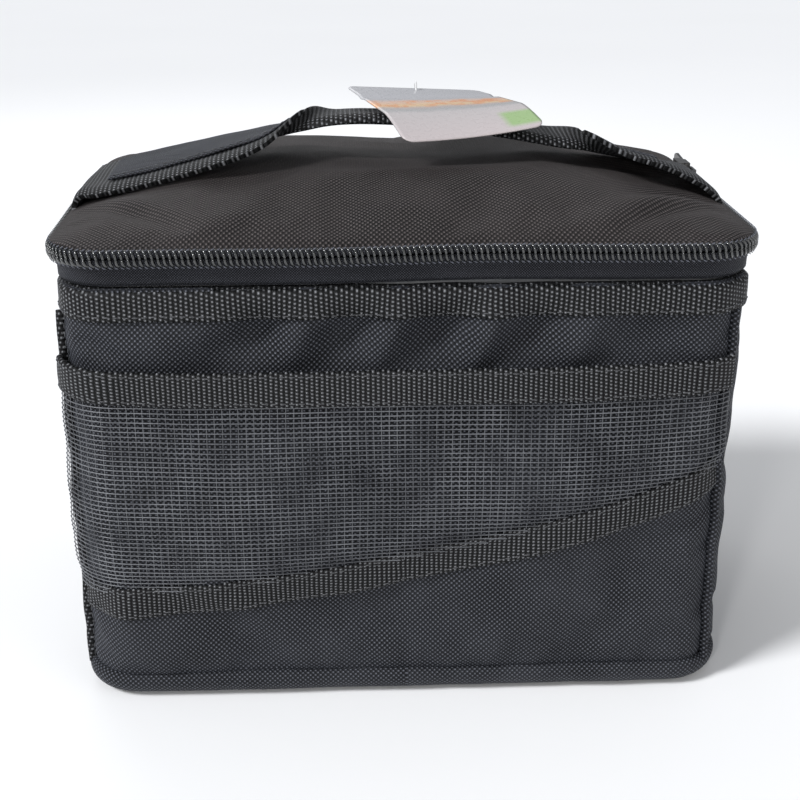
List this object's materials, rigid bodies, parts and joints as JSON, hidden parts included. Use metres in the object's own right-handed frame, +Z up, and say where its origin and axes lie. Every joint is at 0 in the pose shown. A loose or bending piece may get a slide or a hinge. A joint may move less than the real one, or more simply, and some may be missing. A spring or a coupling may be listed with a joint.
{
  "type": "insulated food carrier",
  "caption": "Small soft-sided insulated food carrier in black fabric, with a zip-open padded lid, a webbing handle with a hang tag, and a mesh front pocket.",
  "frame": {"origin": "the middle of the flat base, on the surface the bag stands on", "axes": "+X to the bag's right, from the pocket side looking at it; +Y from the pocket towards the hinge; +Z up"},
  "size_m": [0.2545, 0.1768, 0.2139],
  "materials": {
    "shell_fabric": "matte",
    "foam": "matte",
    "liner": "satin",
    "webbing": "matte",
    "pocket_mesh": "matte",
    "zip_tape": "matte",
    "zip_coil": "gloss",
    "slider_metal": "satin",
    "tag_card": "satin",
    "tag_fastener": "matte"
  },
  "bodies": {
    "bag": {"front_panel": "shell_fabric", "back_panel": "shell_fabric", "left_side_panel": "shell_fabric", "right_side_panel": "shell_fabric", "front_foam": "foam", "back_foam": "foam", "left_foam": "foam", "right_foam": "foam", "front_liner": "liner", "back_liner": "liner", "left_liner": "liner", "right_liner": "liner", "wall_top_binding": "zip_tape", "front_right_seam": "shell_fabric", "back_right_seam": "shell_fabric", "back_left_seam": "shell_fabric", "front_left_seam": "shell_fabric", "bottom_panel": "shell_fabric", "bottom_foam": "foam", "bottom_liner": "liner", "rim_webbing": "webbing", "lower_zip_tape": "zip_tape", "lower_zip_coil": "zip_coil", "zip_end_tab_right": "webbing", "zip_end_tab_left": "webbing", "hinge_strip_lower": "shell_fabric", "pocket_bottom_webbing": "webbing", "pocket_mesh": "pocket_mesh", "pocket_top_binding": "webbing"},
    "lid": {"lid_top_panel": "shell_fabric", "lid_foam": "foam", "lid_liner": "liner", "lid_seam_binding": "zip_tape", "upper_zip_tape": "zip_tape", "upper_zip_coil": "zip_coil", "hinge_strip_upper": "shell_fabric", "handle_end_left": "webbing", "handle_end_right": "webbing", "handle_facing_left_end": "shell_fabric", "handle_facing_right_end": "shell_fabric"},
    "handle": {"handle_webbing": "webbing", "handle_facing_left": "shell_fabric", "tag_fastener": "tag_fastener"},
    "tag": {"hang_tag": "tag_card"},
    "slider": {"zip_slider": "slider_metal"},
    "puller": {"zip_puller": "slider_metal"}
  },
  "joints": [
    {"name": "lid_hinge", "type": "hinge", "parent": "bag", "child": "lid", "pos_m": [0, 0.0846, 0.1718], "axis": [-1, 0, 0], "range_deg": [0, 180]},
    {"name": "handle_swing", "type": "hinge", "parent": "lid", "child": "handle", "pos_m": [0, -0.005, 0.181], "axis": [1, 0, 0], "range_deg": [-12, 12]},
    {"name": "tag_lift", "type": "hinge", "parent": "handle", "child": "tag", "pos_m": [0.0085, 0.025, 0.2109], "axis": [-0.9397, -0.342, 0], "range_deg": [0, 90]},
    {"name": "zip_slide", "type": "slide", "parent": "bag", "child": "slider", "axis": [0, -1, 0], "range_m": [0, 0.1]},
    {"name": "puller_flip", "type": "hinge", "parent": "slider", "child": "puller", "pos_m": [0.1274, 0.0515, 0.1723], "axis": [0, 0, -1], "range_deg": [0, 170]}
  ]
}
